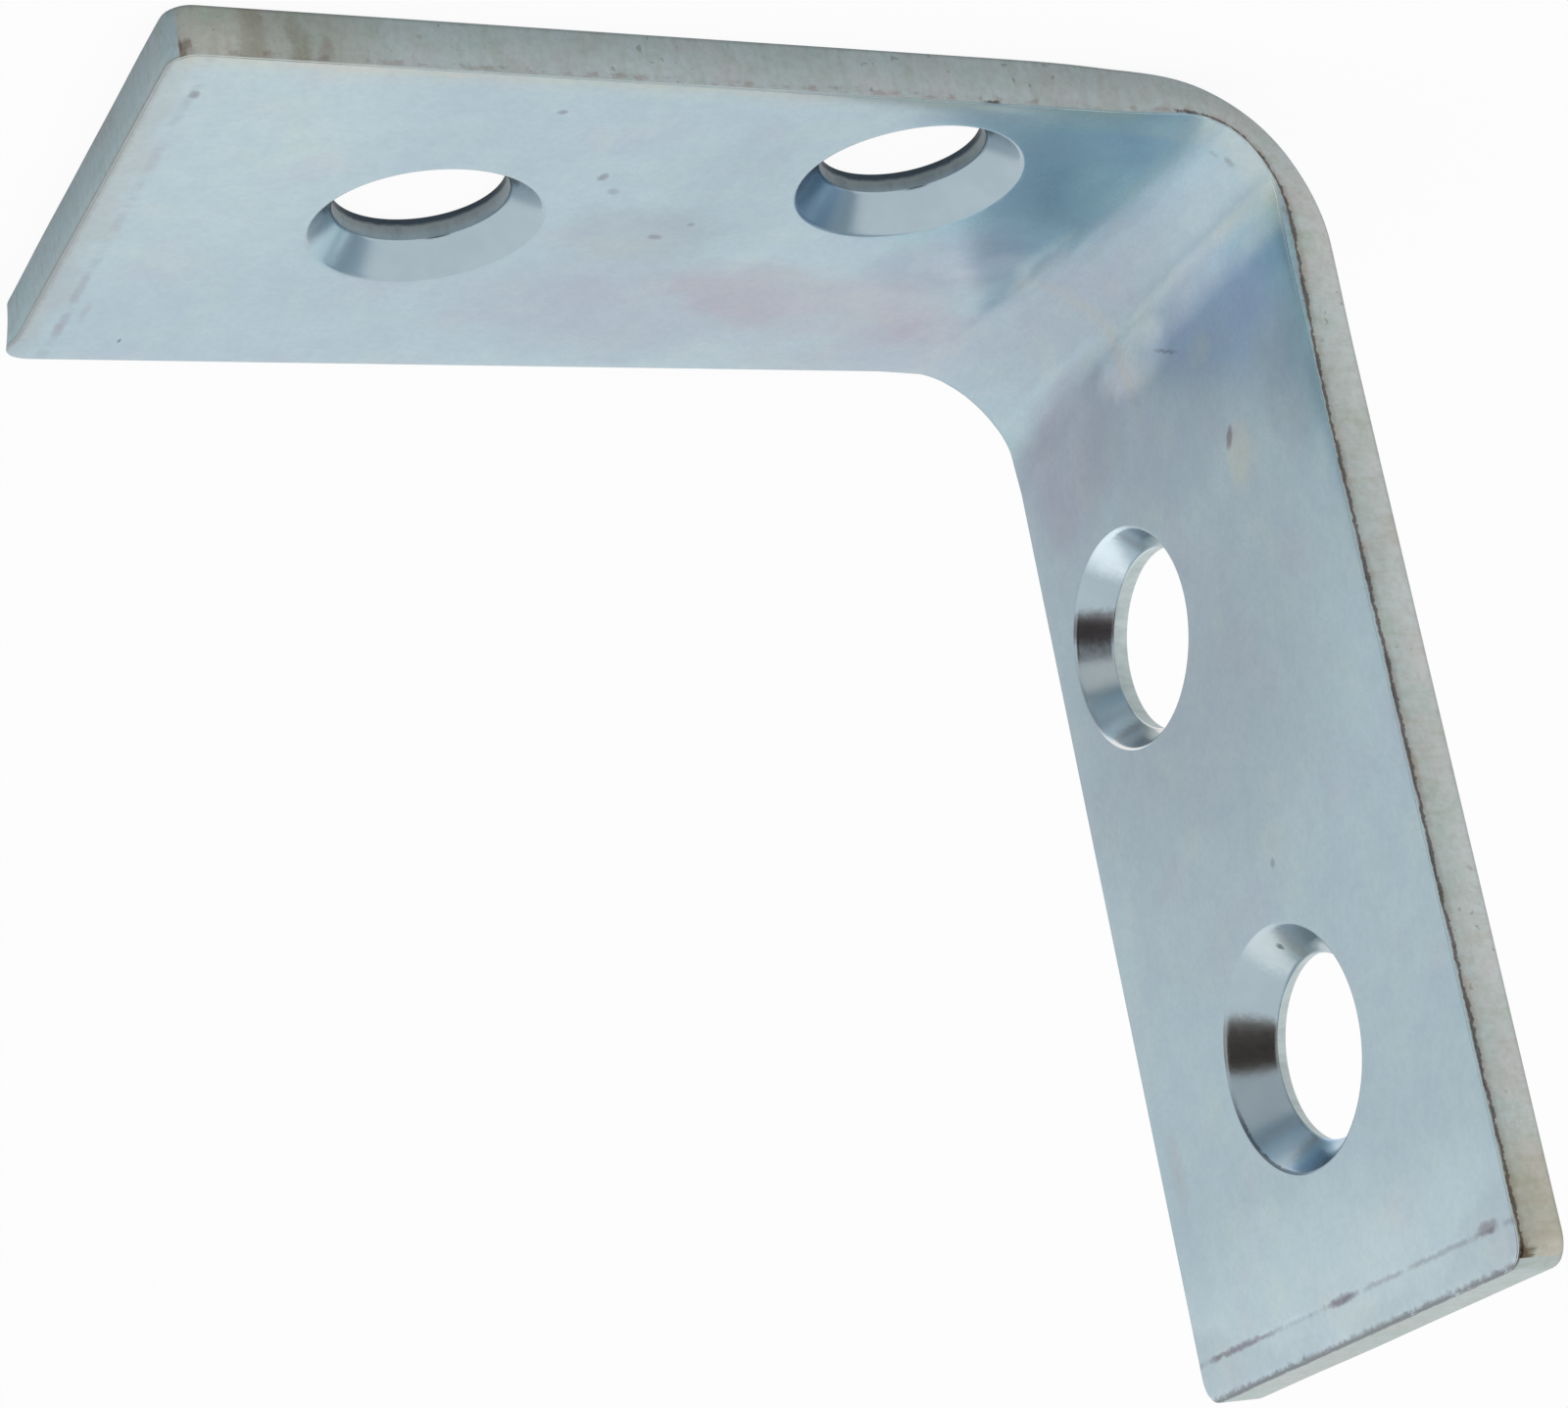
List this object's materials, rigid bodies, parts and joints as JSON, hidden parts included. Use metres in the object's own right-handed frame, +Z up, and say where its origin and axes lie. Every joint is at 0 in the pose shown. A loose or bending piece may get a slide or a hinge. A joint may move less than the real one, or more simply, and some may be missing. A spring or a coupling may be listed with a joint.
{
  "type": "angle bracket",
  "caption": "Right-angled bracket folded from a flat strip of zinc plated steel, with staggered countersunk screw holes in both legs.",
  "frame": {"origin": "under the middle of the foot, on the plane that the foot rests on", "axes": "+X along the foot from the bend to its tip, +Y across the strip, +Z up the upright"},
  "size_m": [0.05, 0.025, 0.052],
  "materials": {
    "zinc_plated_steel": "bright zinc plating with a pale blue passivation, rolled sheet with sheared edges"
  },
  "bodies": {
    "root": {"bracket": "zinc_plated_steel"}
  },
  "joints": []
}
